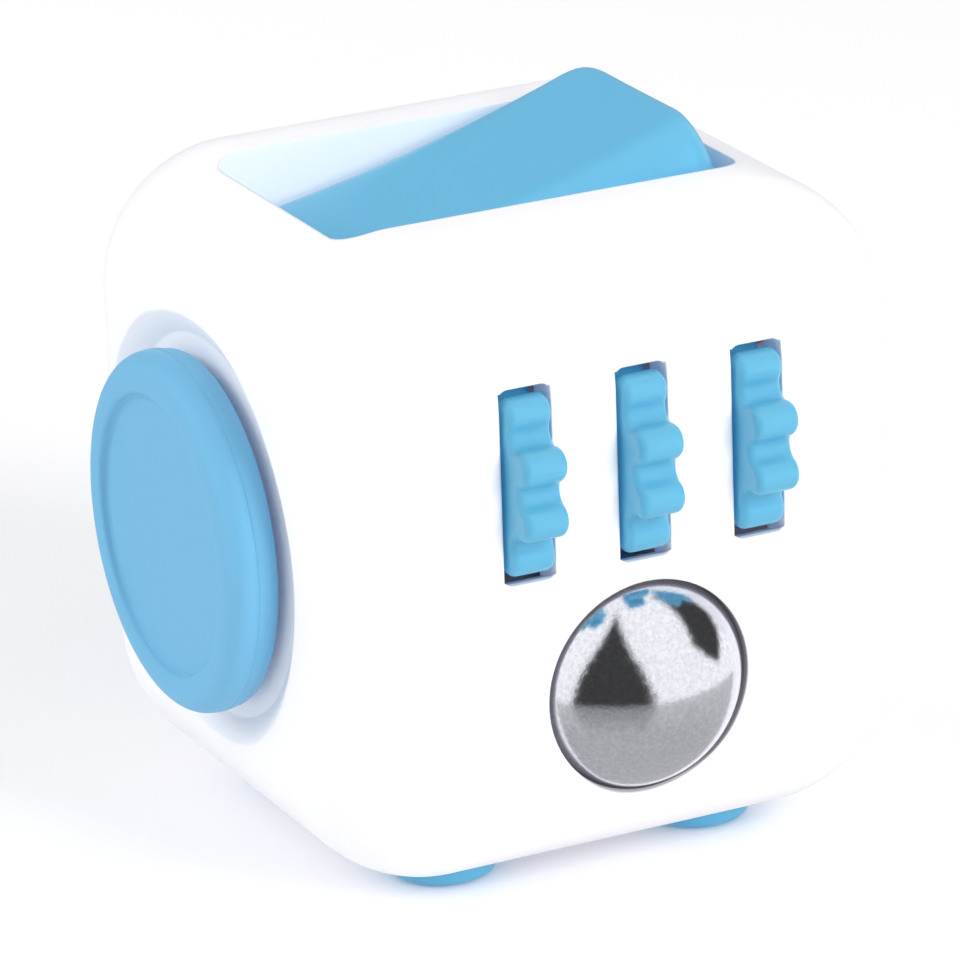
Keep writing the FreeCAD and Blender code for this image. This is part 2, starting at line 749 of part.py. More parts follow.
def build_gear_detent_spring():
    """Comb of three sprung fingers, each with a bump in the rear valley of a wheel."""
    y = "0 - plate_front - seat_gap - leaf_thick / 2"
    pieces = [box("comb_spine", ("2 * comb_half", "leaf_thick", "comb_height"), ("0", y, "comb_z"))]
    for name, x in GEAR_PLACES.items():
        pieces.append(box("finger_" + name, ("finger_width", "leaf_thick", "middle + finger_top - comb_z"),
                          (x, y, "(middle + finger_top + comb_z) / 2")))
        pieces.append(rod("bump_" + name, "x", "bump_radius",
                          (x + " - finger_width / 2", "0 - bump_y", "gear_z"), "finger_width"))
    tools = [rod("comb_hole_%d" % index, "y", "stake_radius + run_gap",
                 (x, "0 - plate_front - overcut", "comb_z"), "2 * overcut")
             for index, x in enumerate(both("gear_pitch / 2"))]
    keep(cut("comb_solid", fuse("comb_set", *pieces), *tools), "gear_detent_spring")


# ---------------------------------------------------------------- ball

def build_ball_group():
    keep(sphere("ball_solid", "ball_radius", ("0", "ball_y", "ball_z")), "steel_ball")
    cup = rod("cup_bar", "y", "cup_radius", ("0", "ball_y + cup_front", "ball_z"), "cup_back - cup_front")
    hollow = sphere("cup_hollow", "seat_radius", ("0", "ball_y", "ball_z"))
    keep(cut("cup_solid", cup, hollow), "ball_cup")
    spring = rod("spring_bar", "y", "cup_radius - 4 * run_gap", ("0", "cup_back_y + run_gap", "ball_z"),
                 "ball_spring_length")
    middle = rod("spring_middle", "y", "ball_spring_hole", ("0", "cup_back_y - overcut", "ball_z"),
                 "ball_spring_length + 2 * overcut")
    keep(cut("spring_solid", spring, middle), "ball_spring")


# ---------------------------------------------------------------- rocker

def build_rocker():
    """Drawn level about its own pivot, then tipped with the left end down."""
    slab = box("rocker_slab", ("rocker_length", "rocker_width", "rocker_skirt + rocker_pivot + overcut"),
               ("0", "0", "(rocker_pivot + overcut - rocker_skirt) / 2"))
    scoop = rod("rocker_scoop", "y", "rocker_hollow_curve",
                ("0", "0 - rocker_width", "rocker_crown + rocker_hollow_curve"), "2 * rocker_width")
    blank = cut("rocker_blank", slab, scoop)
    long_edges = round_edges("rocker_long_edges", blank, "rocker_side_round", is_rocker_long_edge)
    form = round_edges("rocker_form", long_edges, "rocker_end_round", is_rocker_end_edge)
    pocket = box("rocker_pocket",
                 ("rocker_pocket_length", "rocker_pocket_width", "rocker_roof + rocker_skirt + overcut"),
                 ("0", "0", "(rocker_roof - rocker_skirt - overcut) / 2"))
    hub = rod("rocker_hub", "y", "rocker_hub", ("0", "0 - rocker_pocket_width / 2 - weld", "0"),
              "rocker_pocket_width + 2 * weld")
    keel = box("keel_web", ("2 * keel_round", "keel_width", "keel_length"),
               ("0", "0", "0 - keel_length / 2"))
    tip = rod("keel_tip", "y", "keel_round", ("0", "0 - keel_width / 2", "0 - keel_length"), "keel_width")
    solid = fuse("rocker_solid", cut("rocker_shell", form, pocket), hub, keel, tip)
    bore = rod("rocker_bore", "y", "rocker_pin + run_gap", ("0", "0 - rocker_width", "0"),
               "2 * rocker_width")
    rocker = cut("rocker_finished", solid, bore)
    rocker.Placement = FreeCAD.Placement(V(), FreeCAD.Rotation(V(0, -1, 0), value("rocker_tilt")))
    rocker.setExpression("Placement.Rotation.Angle", expand("rocker_tilt"))
    rocker.setExpression("Placement.Base.x", expand("rocker_x"))
    rocker.setExpression("Placement.Base.z", expand("pivot_z"))
    keep(rocker, "rocker")
    pin = rod("rocker_pin_bar", "y", "rocker_pin",
              ("rocker_x", "weld + 2 * run_gap - cheek_inner - cheek_width", "pivot_z"),
              "2 * (cheek_inner + cheek_width - weld)")
    keep(pin, "rocker_axle")


def edge_middle(edge):
    return edge.valueAt((edge.FirstParameter + edge.LastParameter) / 2)


def is_rocker_long_edge(edge):
    """The two curved edges along the top, front and back."""
    point = edge_middle(edge)
    return abs(point.x) < 0.01 and point.z > value("rocker_roof") and edge.Length > value("rocker_width")


def is_rocker_end_edge(edge):
    """The straight edges across the two ends of the top."""
    point = edge_middle(edge)
    at_end = abs(point.x) > value("rocker_length / 2") - 0.01
    return abs(point.y) < 0.01 and point.z > value("rocker_roof") and at_end


def build_rocker_detent_spring():
    """Leaf with an arched hump that the rocker's keel snaps across."""
    strip = box("leaf_strip", ("leaf_length", "leaf_width", "leaf_thick"),
                ("0", "0", "middle + leaf_rise + leaf_thick / 2"))
    arch = rod("leaf_arch", "y", "hump_radius", ("rocker_x", "0 - leaf_width / 2", "middle + hump_rise"),
               "leaf_width")
    under = rod("leaf_under", "y", "hump_radius - leaf_thick",
                ("rocker_x", "0 - leaf_width", "middle + hump_rise"), "2 * leaf_width")
    below = box("leaf_below", ("2 * leaf_length", "2 * leaf_width", "2 * overcut"),
                ("0", "0", "middle + leaf_rise - overcut"))
    holes = [rod("leaf_hole_%d" % index, "z", "stake_radius + run_gap",
                 (x, "0", "middle + leaf_rise - overcut"), "2 * overcut + leaf_thick")
             for index, x in enumerate(both("pillar_pitch"))]
    keep(cut("leaf_solid", fuse("leaf_set", strip, arch), under, below, *holes), "rocker_detent_spring")


# ---------------------------------------------------------------- gliding thumb disc

GLIDE_AT = ("0 - half", "0", "middle")


def build_glide_group():
    """Heights are measured outwards from the cube's left face."""
    floor = "glide_top - glide_recess_depth"
    keep(turned("glide_cap_body", "-x",
                [("screw_bore", "0 - glide_boss_depth"), ("glide_boss", "0 - glide_boss_depth"),
                 ("glide_boss", "0 - glide_under"), ("glide_radius", "0 - glide_under"),
                 ("glide_radius", "glide_top"), ("glide_recess", "glide_top"), ("glide_recess", floor),
                 ("0", floor), ("0", "glide_screw_bite + weld"), ("screw_bore", "glide_screw_bite + weld")],
                GLIDE_AT, [("glide_radius", "glide_top", "glide_round"),
                           ("glide_radius", "0 - glide_under", "glide_round / 2.4"),
                           ("glide_recess", "glide_top", "glide_round / 4")]), "glide_cap")
    keep(turned("glide_stem_body", "-x",
                [("screw_pass", "0 - stem_end"), ("stem_tail", "0 - stem_end"),
                 ("stem_tail", "0 - flange_back"), ("stem_flange", "0 - flange_back"),
                 ("stem_flange", "0 - flange_front"),
                 ("stem_radius", "0 - flange_front"), ("stem_radius", "0 - glide_boss_depth - run_gap"),
                 ("screw_pass", "0 - glide_boss_depth - run_gap")], GLIDE_AT), "glide_stem")
    keep(turned("glide_screw_body", "-x",
                [("0", "0 - head_end"), ("stem_tail - 2 * run_gap", "0 - head_end"),
                 ("stem_tail - 2 * run_gap", "0 - stem_end - run_gap"),
                 ("screw_radius", "0 - stem_end - run_gap"), ("screw_radius", "glide_screw_bite"),
                 ("0", "glide_screw_bite")], GLIDE_AT), "glide_screw")
    keep(turned("centring_ring_body", "-x",
                [("stem_tail + run_gap", "0 - stem_end"), ("slider_half_y - ring_rim", "0 - stem_end"),
                 ("slider_half_y - ring_rim", "0 - stem_end - ring_web"),
                 ("slider_half_y", "0 - stem_end - ring_web"), ("slider_half_y", "ring_rim - stem_end"),
                 ("slider_half_y - ring_rim", "ring_rim - stem_end"),
                 ("slider_half_y - ring_rim", "ring_web - stem_end"),
                 ("stem_tail + run_gap", "ring_web - stem_end")], GLIDE_AT), "glide_centring_ring")
    build_cross_slider()
    build_glide_housing()


def build_cross_slider():
    """Carrier that slides up and down in the housing while the stem slides along its slot."""
    front = "0 - half + slider_front"
    plate = box("slider_plate", ("slider_thick", "2 * slider_half_y", "2 * slider_half_z"),
                (front + " + slider_thick / 2", "0", "middle"))
    slot = [box("slider_slot", ("4 * slider_thick", "2 * (glide_travel + run_gap)",
                                "2 * (stem_radius + run_gap)"), (front, "0", "middle"))]
    for index, y in enumerate(both("(glide_travel + run_gap)")):
        slot.append(rod("slider_end_%d" % index, "x", "stem_radius + run_gap",
                        (front + " - overcut", y, "middle"), "slider_thick + 2 * overcut"))
    keep(cut("slider_solid", plate, *slot), "glide_cross_slider")


def build_glide_housing():
    back = "0 - half + housing_front"
    depth = "housing_front - slider_front"
    pieces = [block("housing_plate", "x", ("2 * housing_half", "2 * housing_half", "housing_thick"),
                    (back + " + housing_thick / 2", "0", "middle"), "slot_corner * 2")]
    for index, y in enumerate(both("(rail_inner + rail_width / 2)")):
        pieces.append(box("rail_%d" % index, (depth + " + weld", "rail_width", "2 * rail_half"),
                          (back + " + (weld - (%s)) / 2" % depth, y, "middle")))
    for index, z in enumerate(both("(rail_inner + rail_width / 2)")):
        pieces.append(box("end_wall_%d" % index, ("end_wall_tall", "2 * rail_half", "rail_width"),
                          (back + " + weld - end_wall_tall / 2", "0", "middle + " + z)))
    tools = [rod("housing_pass_%d" % index, "x", "screw_pass", (back + " - overcut", y, z),
                 "housing_thick + 2 * overcut")
             for index, (y, z) in enumerate(housing_boss_places())]
    keep(cut("housing_solid", fuse("housing_set", *pieces), *tools), "glide_housing")


# ---------------------------------------------------------------- spinning dial

DIAL_AT = ("0", "half", "middle")


def build_dial_group():
    """Heights are measured outwards from the cube's back face."""
    disc = turned("dial_body", "y",
                  [("screw_bore", "0 - dial_hub_end"), ("dial_hub", "0 - dial_hub_end"),
                   ("dial_hub", "0 - dial_under"), ("dial_radius", "0 - dial_under"),
                   ("dial_radius", "dial_top"), ("0", "dial_top"), ("0", "dial_screw_bite + weld"),
                   ("screw_bore", "dial_screw_bite + weld")],
                  DIAL_AT, [("dial_radius", "dial_top", "dial_round")])
    dimple = sphere("dial_dimple", "dimple_curve",
                    ("0", "half + dial_top - dimple_depth + dimple_curve", "middle + dimple_offset"))
    rim = value("sqrt(dimple_curve ^ 2 - (dimple_curve - dimple_depth) ^ 2)")
    dimpled = cut("dial_dimpled", disc, dimple)
    keep(round_edges("dial_soft", dimpled, "dial_round / 2", lambda edge: is_ring(edge, rim)), "spin_dial")
    cone_low = "seat_gap - dial_hub_end"
    cone_high = "0 - wall - seat_gap"
    keep(turned("spring_washer_body", "y",
                [("spring_washer_hole", cone_low),
                 ("spring_washer_radius", cone_high + " - spring_washer_thick"),
                 ("spring_washer_radius", cone_high),
                 ("spring_washer_hole", cone_low + " + spring_washer_thick")],
                DIAL_AT), "dial_spring_washer")
    washer_top = "0 - dial_hub_end - seat_gap"
    washer_low = washer_top + " - washer_thick"
    keep(turned("retaining_washer_body", "y",
                [("screw_pass", washer_low), ("washer_radius", washer_low),
                 ("washer_radius", washer_top), ("screw_pass", washer_top)],
                DIAL_AT), "dial_retaining_washer")
    under = washer_low + " - seat_gap"
    keep(turned("dial_screw_body", "y",
                [("0", under + " - pan_thick"), ("dial_screw_head", under + " - pan_thick"),
                 ("dial_screw_head", under), ("screw_radius", under),
                 ("screw_radius", "dial_screw_bite"), ("0", "dial_screw_bite")],
                DIAL_AT), "dial_screw")


# ---------------------------------------------------------------- push buttons

def build_buttons():
    for index, (x, y) in enumerate(button_places(), start=1):
        keep(turned("button_body_%d" % index, "z",
                    [("0", "0"), ("button_radius", "0"), ("button_radius", "flange_z"),
                     ("button_flange", "flange_z"), ("button_flange", "flange_top_z"),
                     ("0", "flange_top_z")],
                    (x, y, "0"), [("button_radius", "0", "button_round")]), "button_%d" % index)


def build_button_mat():
    """Silicone sheet with a pad over each button."""
    sheet_piece = block("mat_sheet", "z", ("2 * mat_half", "2 * mat_half", "mat_thick"),
                        ("0", "0", "mat_z + mat_thick / 2"), "mat_corner")
    nubs = [rod("mat_nub_%d" % index, "z", "nub_radius", (x, y, "mat_z"), "mat_thick + nub_height")
            for index, (x, y) in enumerate(button_places())]
    holes = [rod("mat_hole_%d" % index, "z", "boss_radius + 3 * run_gap", (x, y, "mat_z - overcut"),
                 "mat_thick + 2 * overcut")
             for index, (x, y) in enumerate(board_boss_places())]
    keep(cut("mat_solid", fuse("mat_set", sheet_piece, *nubs), *holes), "button_mat")


def build_click_domes():
    """Snap domes under the board, over three of the five buttons."""
    domes = []
    for index, (x, y) in enumerate(button_places()[::2]):
        top = "board_z - dome_height"
        outside = sphere("dome_outside_%d" % index, "dome_curve", (x, y, top + " + dome_curve"))
        inside = sphere("dome_inside_%d" % index, "dome_curve", (x, y, top + " + dome_curve + dome_thick"))
        slab = box("dome_slab_%d" % index, ("3 * dome_radius", "3 * dome_radius", "dome_height - seat_gap"),
                   (x, y, "board_z - (dome_height + seat_gap) / 2"))
        domes.append(cut("dome_%d" % index, common("dome_cap_%d" % index, outside, slab), inside))
    keep(fuse("dome_set", *domes), "click_domes")


def build_button_board():
    board = block("board_sheet", "z", ("2 * mat_half", "2 * mat_half", "board_thick"),
                  ("0", "0", "board_z + board_thick / 2"), "mat_corner")
    notch = box("board_notch", ("2 * board_notch", "cube_side", "cube_side"),
                ("0", "0 - board_notch_y - half", "board_z"))
    holes = [rod("board_pass_%d" % index, "z", "screw_pass", (x, y, "board_z - overcut"),
                 "board_thick + 2 * overcut")
             for index, (x, y) in enumerate(board_boss_places())]
    keep(cut("board_solid", board, notch, *holes), "button_board")


# ---------------------------------------------------------------- screws

def pan_screw(name, along, start, reach):
    """Pan-head screw whose head starts at `start` and whose shank runs back against `along`."""
    head = rod(name + "_head", along, "pan_head", start, "pan_thick")
    back = {"x": 0, "y": 1, "z": 2}[along]
    low = list(start)
    low[back] = "%s - (%s)" % (start[back], reach)
    shank = rod(name + "_shank", along, "screw_radius", low, reach + " + pan_thick / 2")
    return fuse(name, head, shank)


def sunk_screw(name, place_xz, face_y, reach):
    """Countersunk screw along Y with its flat head at `face_y`."""
    x, z = place_xz
    head = cone(name + "_head", "y", "screw_radius", "screw_head",
                (x, face_y + " - screw_head_deep - run_gap", z), "screw_head_deep")
    shank = rod(name + "_shank", "y", "screw_radius", (x, "%s - (%s)" % (face_y, reach), z),
                reach + " - run_gap - screw_head_deep / 2")
    return fuse(name, head, shank)


def build_screws():
    recess_y = "half - dial_recess_depth"
    head_x = "0 - half + housing_front + housing_thick + seat_gap"
    frame_set = [sunk_screw("frame_screw_%d" % index, spot, "plate_back_y", "frame_screw_reach")
                 for index, spot in enumerate(frame_boss_places())]
    cover_set = [sunk_screw("cover_screw_%d" % index, spot, recess_y, "cover_screw_reach")
                 for index, spot in enumerate(pillar_places())]
    board_set = [pan_screw("board_screw_%d" % index, "z", (x, y, "board_top_z + seat_gap"),
                           "board_screw_reach")
                 for index, (x, y) in enumerate(board_boss_places())]
    housing_set = [pan_screw("housing_screw_%d" % index, "x", (head_x, y, z), "housing_screw_reach")
                   for index, (y, z) in enumerate(housing_boss_places())]
    keep(fuse("frame_screw_set", *frame_set), "frame_screws")
    keep(fuse("cover_screw_set", *cover_set), "cover_screws")
    keep(fuse("board_screw_set", *board_set), "board_screws")
    keep(fuse("housing_screw_set", *housing_set), "glide_housing_screws")


build_outer_shell()
build_back_cover()
build_inner_frame()
for gear_name, gear_x in GEAR_PLACES.items():
    build_gear(gear_name, gear_x)
build_gear_axle()
build_gear_detent_spring()
build_ball_group()
build_rocker()
build_rocker_detent_spring()
build_glide_group()
build_dial_group()
build_buttons()
build_button_mat()
build_click_domes()
build_button_board()
build_screws()

doc.recompute()
for item in doc.Objects:
    if "Invalid" in item.State or "Error" in item.State:
        raise RuntimeError("%s failed: %s" % (item.Name, item.State))
for node in NODES:
    if node.Shape.isNull() or not node.Shape.isValid():
        raise RuntimeError("%s has no valid shape" % node.Label)

os.makedirs("parts", exist_ok=True)
for node in NODES:
    node.Shape.exportStep("parts/%s.step" % node.Label)
    print("%-24s solids %d  volume %9.2f" % (node.Label, len(node.Shape.Solids), node.Shape.Volume))
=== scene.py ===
import json
import math

import bmesh
import bpy
from mathutils import Matrix, Vector


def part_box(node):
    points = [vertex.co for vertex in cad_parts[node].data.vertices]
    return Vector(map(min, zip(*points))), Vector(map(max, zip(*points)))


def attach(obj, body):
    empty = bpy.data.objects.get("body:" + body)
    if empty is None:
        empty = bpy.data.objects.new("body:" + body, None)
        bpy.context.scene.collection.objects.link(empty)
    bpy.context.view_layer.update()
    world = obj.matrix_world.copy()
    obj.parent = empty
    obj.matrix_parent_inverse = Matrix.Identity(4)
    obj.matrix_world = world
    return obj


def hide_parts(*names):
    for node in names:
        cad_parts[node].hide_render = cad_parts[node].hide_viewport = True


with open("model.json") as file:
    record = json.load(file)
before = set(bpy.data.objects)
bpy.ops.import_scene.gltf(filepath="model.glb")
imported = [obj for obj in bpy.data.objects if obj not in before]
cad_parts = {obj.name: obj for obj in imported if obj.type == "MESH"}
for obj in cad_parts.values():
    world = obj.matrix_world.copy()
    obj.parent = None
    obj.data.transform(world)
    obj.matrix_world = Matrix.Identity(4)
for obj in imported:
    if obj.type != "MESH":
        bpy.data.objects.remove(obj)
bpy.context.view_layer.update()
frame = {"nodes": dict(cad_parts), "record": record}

MM = 0.001
record = frame["record"]
JOINTS = {joint["name"]: joint for joint in record["behaviour"]["joints"]}


def corners(node):
    """Lowest and highest corner of a CAD node, as vectors."""
    return [Vector(corner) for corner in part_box(node)]


# The cube's own measures, taken from the frame.
SHELL_LOW, SHELL_HIGH = corners("outer_shell")
HALF = (SHELL_HIGH.x - SHELL_LOW.x) / 2
MIDDLE_Z = (SHELL_HIGH.z + SHELL_LOW.z) / 2
CENTRE = Vector((0, 0, MIDDLE_Z))


def direction_to(azimuth, elevation):
    """Unit vector from the cube, angles in degrees; azimuth 0 is straight in front."""
    turn, lift = math.radians(azimuth), math.radians(elevation)
    return Vector((math.sin(turn) * math.cos(lift), -math.cos(turn) * math.cos(lift), math.sin(lift)))


# ---------------------------------------------------------------- mesh helpers

def arc(centre, radius, start, end, steps):
    """Points along an arc in (across, up), angles in degrees, both ends included."""
    points = []
    for step in range(steps + 1):
        angle = math.radians(start + (end - start) * step / steps)
        points.append((centre[0] + radius * math.cos(angle), centre[1] + radius * math.sin(angle)))
    return points


def finish_mesh(mesh, name, sharp_degrees):
    """Turn a bmesh into an object with clean outward normals and smooth shading."""
    bmesh.ops.remove_doubles(mesh, verts=mesh.verts, dist=1e-7)
    bmesh.ops.recalc_face_normals(mesh, faces=mesh.faces)
    data = bpy.data.meshes.new(name)
    mesh.to_mesh(data)
    mesh.free()
    data.shade_smooth()
    data.set_sharp_from_angle(angle=math.radians(sharp_degrees))
    piece = bpy.data.objects.new(name, data)
    bpy.context.scene.collection.objects.link(piece)
    return piece


def loft(rings, name, sharp_degrees=38):
    """Solid through rings of equal count; a ring of one point is a pole."""
    mesh = bmesh.new()
    rows = [[mesh.verts.new(point) for point in ring] for ring in rings]
    for first, second in zip(rows, rows[1:]):
        count = max(len(first), len(second))
        for index in range(count):
            after = (index + 1) % count
            if len(first) == 1:
                mesh.faces.new((first[0], second[index], second[after]))
            elif len(second) == 1:
                mesh.faces.new((first[index], first[after], second[0]))
            else:
                mesh.faces.new((first[index], first[after], second[after], second[index]))
    return finish_mesh(mesh, name, sharp_degrees)


def lathe(name, profile, origin, along, segments=160, shape=None, sharp_degrees=38):
    """Turned piece. profile = (radius, height) from pole to pole, metres.

    shape(point) may move a point, given in the piece's own axes, before it is placed.
    """
    turn = Vector((0, 0, 1)).rotation_difference(Vector(along)).to_matrix()
    rings = []
    for radius, height in profile:
        count = 1 if radius < 1e-7 else segments
        ring = []
        for index in range(count):
            angle = 2 * math.pi * index / segments
            point = Vector((radius * math.cos(angle), radius * math.sin(angle), height))
            if shape:
                point = shape(point)
            ring.append(Vector(origin) + turn @ point)
        rings.append(ring)
    return loft(rings, name, sharp_degrees)


def settle(piece, body, slot, *nodes):
    """Ride on a body and stand in for CAD nodes; slot is not used."""
    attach(piece, body)
    if nodes:
        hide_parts(*nodes)
    return piece


# ---------------------------------------------------------------- lobed wheels

LOBES = 10
GEAR_LOW, GEAR_HIGH = corners("gear_middle")
GEAR_TIP = (GEAR_HIGH.z - GEAR_LOW.z) / 2
GEAR_HALF_WIDTH = (GEAR_HIGH.x - GEAR_LOW.x) / 2
GEAR_ROOT_SHARE = 0.787
GEAR_ROOT = GEAR_TIP * GEAR_ROOT_SHARE
LOBE_ROUND = GEAR_TIP / 6
GEAR_EDGE = 0.42 * MM
GEAR_BORE = 0.85 * MM
GEAR_HUB = 1.5 * MM
GEAR_DISH_START = 1.7 * MM
GEAR_DISH_END = 2.9 * MM
GEAR_DISH_DEPTH = 0.05 * MM


def wheel_outline(steps=9):
    """Outline of round lobes and valleys with its outward normals, as (point, normal) pairs."""
    lobe_at = GEAR_TIP - LOBE_ROUND
    half_lobe = math.pi / LOBES
    forward = lobe_at * math.cos(half_lobe)
    gap = lobe_at ** 2 + GEAR_ROOT ** 2 - 2 * GEAR_ROOT * forward - LOBE_ROUND ** 2
    valley_round = gap / (2 * (LOBE_ROUND + forward - GEAR_ROOT))
    lobe = Vector((forward, lobe_at * math.sin(half_lobe)))
    valley = Vector((GEAR_ROOT + valley_round, 0))
    meet = (valley - lobe).normalized()
    reach = math.atan2(-meet.y, meet.x)
    points = []
    for tooth in range(LOBES):
        spin = Matrix.Rotation(2 * half_lobe * tooth, 2)
        for step in range(-steps, steps):
            angle = math.pi - reach * step / steps
            normal = Vector((-math.cos(angle), -math.sin(angle)))
            points.append((spin @ (valley - normal * valley_round), spin @ normal))
        start = -reach
        end = 2 * half_lobe + reach
        for step in range(2 * steps):
            angle = start + (end - start) * step / (2 * steps)
            normal = Vector((math.cos(angle), math.sin(angle)))
            points.append((spin @ (lobe + normal * LOBE_ROUND), spin @ normal))
    return points


def build_wheel(node):
    """Wheel with softly rounded edges, a shallow dish in each side and a bore for the axle."""
    centre = Vector(JOINTS[node + "_spin"]["pos_m"])
    outline = wheel_outline()
    flank = GEAR_HALF_WIDTH - GEAR_DISH_DEPTH
    straight = GEAR_HALF_WIDTH - GEAR_EDGE

    def stand_up(x, spots):
        """Flat points turned to the front and set at x along the axle."""
        return [centre + Vector((x, -spot.x, spot.y)) for spot in spots]

    def outline_ring(x, inset):
        return stand_up(x, [point - normal * inset for point, normal in outline])

    def round_ring(x, radius):
        return stand_up(x, [point.normalized() * radius for point, _ in outline])

    def side(sign):
        """Rings from the bore out to the full outline on one side."""
        rings = [round_ring(sign * GEAR_HALF_WIDTH, GEAR_BORE),
                 round_ring(sign * GEAR_HALF_WIDTH, GEAR_HUB),
                 round_ring(sign * flank, GEAR_DISH_START),
                 round_ring(sign * flank, GEAR_DISH_END)]
        for inset, rise in arc((0, 0), GEAR_EDGE, 90, 0, 7):
            rings.append(outline_ring(sign * (straight + rise), GEAR_EDGE - inset))
        return rings

    rings = side(-1)
    rings += [outline_ring(share * straight, 0) for share in (-0.4, 0.4)]
    rings += side(1)[::-1]
    rings.append(rings[0])
    piece = loft(rings, node + "_wheel", 50)
    return settle(piece, node + "_body", "blue_plastic", node)


# ---------------------------------------------------------------- rocker

PIVOT = Vector(JOINTS["rocker_flip"]["pos_m"])
ROCKER_TILT = math.radians(JOINTS["rocker_flip"]["range_deg"][1] / 2)
ROCKER_LOW, ROCKER_HIGH = corners("rocker")
ROCKER_HALF_WIDTH = (ROCKER_HIGH.y - ROCKER_LOW.y) / 2
ROCKER_HALF_LENGTH = 10.8 * MM
ROCKER_CROWN = 3.3 * MM
ROCKER_HOLLOW_CURVE = 100 * MM
ROCKER_SAG = 0.02 * MM
ROCKER_SKIRT = 1.2 * MM
ROCKER_SIDE_ROUND = 2.7 * MM
ROCKER_END_ROUND = 1.0 * MM
ROCKER_PLAN_ROUND = 1.9 * MM
ROCKER_SKIRT_ROUND = 0.3 * MM
# Half length, half width and roof height of the hollow underneath.
ROCKER_POCKET = Vector((8.5 * MM, 4.8 * MM, 1.1 * MM))
HUB_ROUND = 2.1 * MM
KEEL_ROUND = 0.6 * MM
KEEL_REACH = 3.0 * MM
KEEL_HALF_WIDTH = 1.5 * MM


def tipped(x, y, z):
    """Place of a point that is given with the rocker level about its pin."""
    return PIVOT + Matrix.Rotation(-ROCKER_TILT, 3, "Y") @ Vector((x, y, z))


def end_capped(rings):
    """Rings with a point at the middle of the first and of the last, which closes the ends."""
    middles = [[sum(ring, Vector()) / len(ring)] for ring in (rings[0], rings[-1])]
    return [middles[0]] + rings + [middles[1]]


def rounded_off(distance, radius):
    """How far a quarter-round of the radius falls back at a distance into it."""
    inside = max(distance, 0)
    return radius - math.sqrt(max(radius ** 2 - inside ** 2, 0))


def rocker_ring(x, hollow):
    """Section across the rocker at x; the underside rises into the pocket where it is hollow."""
    reach = abs(x)
    half = ROCKER_HALF_WIDTH - rounded_off(reach - ROCKER_HALF_LENGTH + ROCKER_PLAN_ROUND, ROCKER_PLAN_ROUND)
    top = ROCKER_CROWN + x ** 2 / (2 * ROCKER_HOLLOW_CURVE)
    top -= rounded_off(reach - ROCKER_HALF_LENGTH + ROCKER_END_ROUND, ROCKER_END_ROUND)
    low = -ROCKER_SKIRT
    soft = ROCKER_SKIRT_ROUND
    side = ROCKER_SIDE_ROUND
    roof = ROCKER_POCKET.z if hollow else low
    right = arc((half - soft, low + soft), soft, -90, 0, 4) + arc((half - side, top - side), side, 0, 90, 12)
    shares = [1 - step / 6 for step in range(1, 12)]
    crest = [((half - side) * share, top - ROCKER_SAG * (1 - share ** 2)) for share in shares]
    left = [(-y, z) for y, z in reversed(right)]
    wall = ROCKER_POCKET.y
    under = [(-wall, low), (-wall, roof), (0, roof), (wall, roof), (wall, low)]
    return [tipped(x, y, z) for y, z in right + crest + left + under]


def build_rocker():
    """Tilted cap: hollowed top, rounded sides and ends, open pocket underneath."""
    ends = [ROCKER_HALF_LENGTH - ROCKER_PLAN_ROUND * (1 - math.sin(math.radians(6 * step)))
            for step in range(16)]
    solid_part = [ROCKER_POCKET.x + (ends[0] - ROCKER_POCKET.x) * share for share in (0, 0.5)] + ends
    hollow_part = [ROCKER_POCKET.x * step / 12 for step in range(-12, 13)]
    rings = [rocker_ring(-x, False) for x in reversed(solid_part)]
    rings += [rocker_ring(x, True) for x in hollow_part]
    rings += [rocker_ring(x, False) for x in solid_part]
    piece = loft(end_capped(rings), "rocker_cap", 50)
    return settle(piece, "rocker_body", "blue_plastic", "rocker")


def build_rocker_keel():
    """Hub on the pin with the keel that snaps over the leaf's hump."""
    lean = math.degrees(math.acos(KEEL_ROUND / HUB_ROUND))
    section = arc((0, 0), HUB_ROUND, -lean, 180 + lean, 36)
    section += arc((0, -KEEL_REACH), KEEL_ROUND, 180, 360, 8)
    rings = [[tipped(x, y, z) for x, z in section] for y in (-KEEL_HALF_WIDTH, KEEL_HALF_WIDTH)]
    piece = loft(end_capped(rings), "rocker_keel", 40)
    return settle(piece, "rocker_body", "blue_plastic", "rocker")


# ---------------------------------------------------------------- gliding thumb disc

def build_glide_disc():
    """Thumb disc: round edge with a fine parting line, shallow recess in front, boss behind."""
    low, high = corners("glide_cap")
    radius = (high.z - low.z) / 2
    top = -HALF - low.x
    under = -0.35 * MM
    boss, boss_end = 2.6 * MM, -1.85 * MM
    round_top, round_low = 1.2 * MM, 0.5 * MM
    recess, floor = 7.05 * MM, top - 0.4 * MM
    soft, crown = 0.42 * MM, 0.03 * MM
    line, groove = 0.9 * MM, 0.035 * MM
    draft, lip = 0.1 * MM, 0.02 * MM
    profile = [(0, boss_end), (boss, boss_end), (boss, under), (radius * 0.6, under)]
    profile += arc((radius - draft - round_low, under + round_low), round_low, -90, 0, 8)
    profile += [(radius, line - 0.25 * MM), (radius, line - groove), (radius - groove, line),
                (radius - lip, line + groove)]
    profile += arc((radius - lip - round_top, top - round_top), round_top, 4, 90, 14)
    profile += arc((recess + soft, top - soft), soft, 90, 150, 7)
    profile += arc((recess - soft * 0.9, floor + soft), soft, -30, -90, 7)
    profile += [(recess * share, floor - crown * (1 - share ** 2)) for share in (0.8, 0.6, 0.4, 0.2, 0)]
    piece = lathe("glide_disc", profile, CENTRE - Vector((HALF, 0, 0)), (-1, 0, 0), 220, sharp_degrees=60)
    return settle(piece, "glide_stick", "blue_soft", "glide_cap")


# ---------------------------------------------------------------- spinning dial

